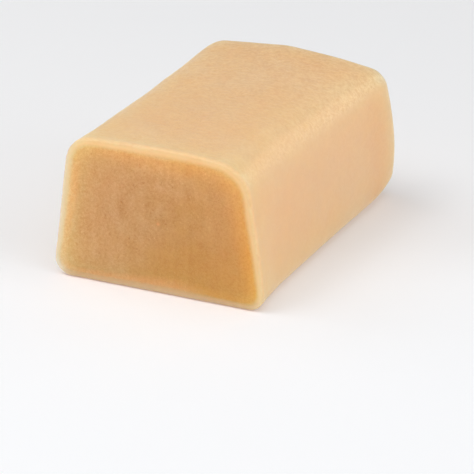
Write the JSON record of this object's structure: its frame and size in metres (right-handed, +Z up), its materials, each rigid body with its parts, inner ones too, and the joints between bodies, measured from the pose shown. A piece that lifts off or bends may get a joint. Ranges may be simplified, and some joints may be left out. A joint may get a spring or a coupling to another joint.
{
  "type": "block of raw marzipan",
  "caption": "Loaf-shaped block of raw marzipan, cut across at one end, with a rounded trapezoid section and a slightly domed top, resting on its flat base.",
  "frame": {"origin": "centre of the flat base, at the height of the surface the block rests on", "axes": "+Z up, the block's shortest side; +Y along the block, from the cut end to the moulded end; X across it"},
  "size_m": [0.0946, 0.138, 0.0658],
  "materials": {
    "marzipan": "matte, slightly moist almond paste; the cut end is granular"
  },
  "bodies": {
    "root": {"marzipan_block": "marzipan"}
  },
  "joints": []
}
